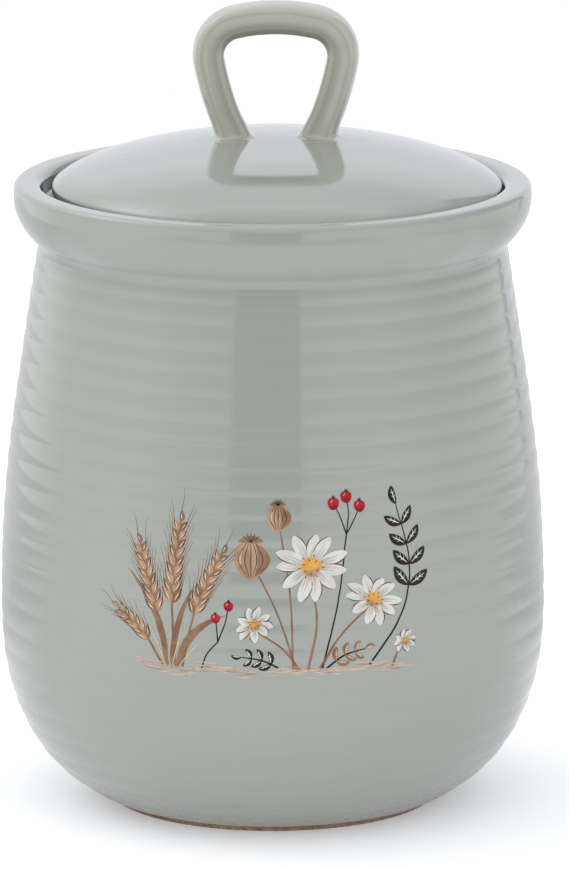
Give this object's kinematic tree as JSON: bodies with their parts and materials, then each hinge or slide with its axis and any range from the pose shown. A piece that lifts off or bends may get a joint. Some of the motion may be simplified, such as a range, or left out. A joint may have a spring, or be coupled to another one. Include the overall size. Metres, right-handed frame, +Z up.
{
  "type": "biscuit jar",
  "caption": "Glazed stoneware biscuit jar with a ringed, rounded body, a flat collar and a loose domed lid that sits in the collar's gallery and lifts off by a fluted loop handle.",
  "frame": {"origin": "on the jar's axis, in the plane of the table under the foot ring", "axes": "+Z up along the jar's axis; the handle's loop lies in the XZ plane; -Y is the front"},
  "size_m": [0.1526, 0.1526, 0.2254],
  "materials": {
    "body_glaze": "sage grey gloss glaze over buff stoneware, softly mottled; bare clay on the foot ring",
    "lid_glaze": "the same sage grey gloss glaze, smooth and mirror-like on the dome",
    "handle_glaze": "the same glaze, thinner and more olive along the flutes and edges",
    "bare_clay": "unglazed buff-brown stoneware, matt and slightly grainy",
    "print_enamel": "fired-on coloured print, slightly less glossy than the glaze"
  },
  "bodies": {
    "jar": {"jar": "body_glaze"},
    "lid": {"lid": "lid_glaze", "handle": "handle_glaze"}
  },
  "joints": [
    {"name": "lid_lift", "type": "slide", "parent": "jar", "child": "lid", "axis": [0, 0, 1], "range_m": [0, 0.12]}
  ]
}
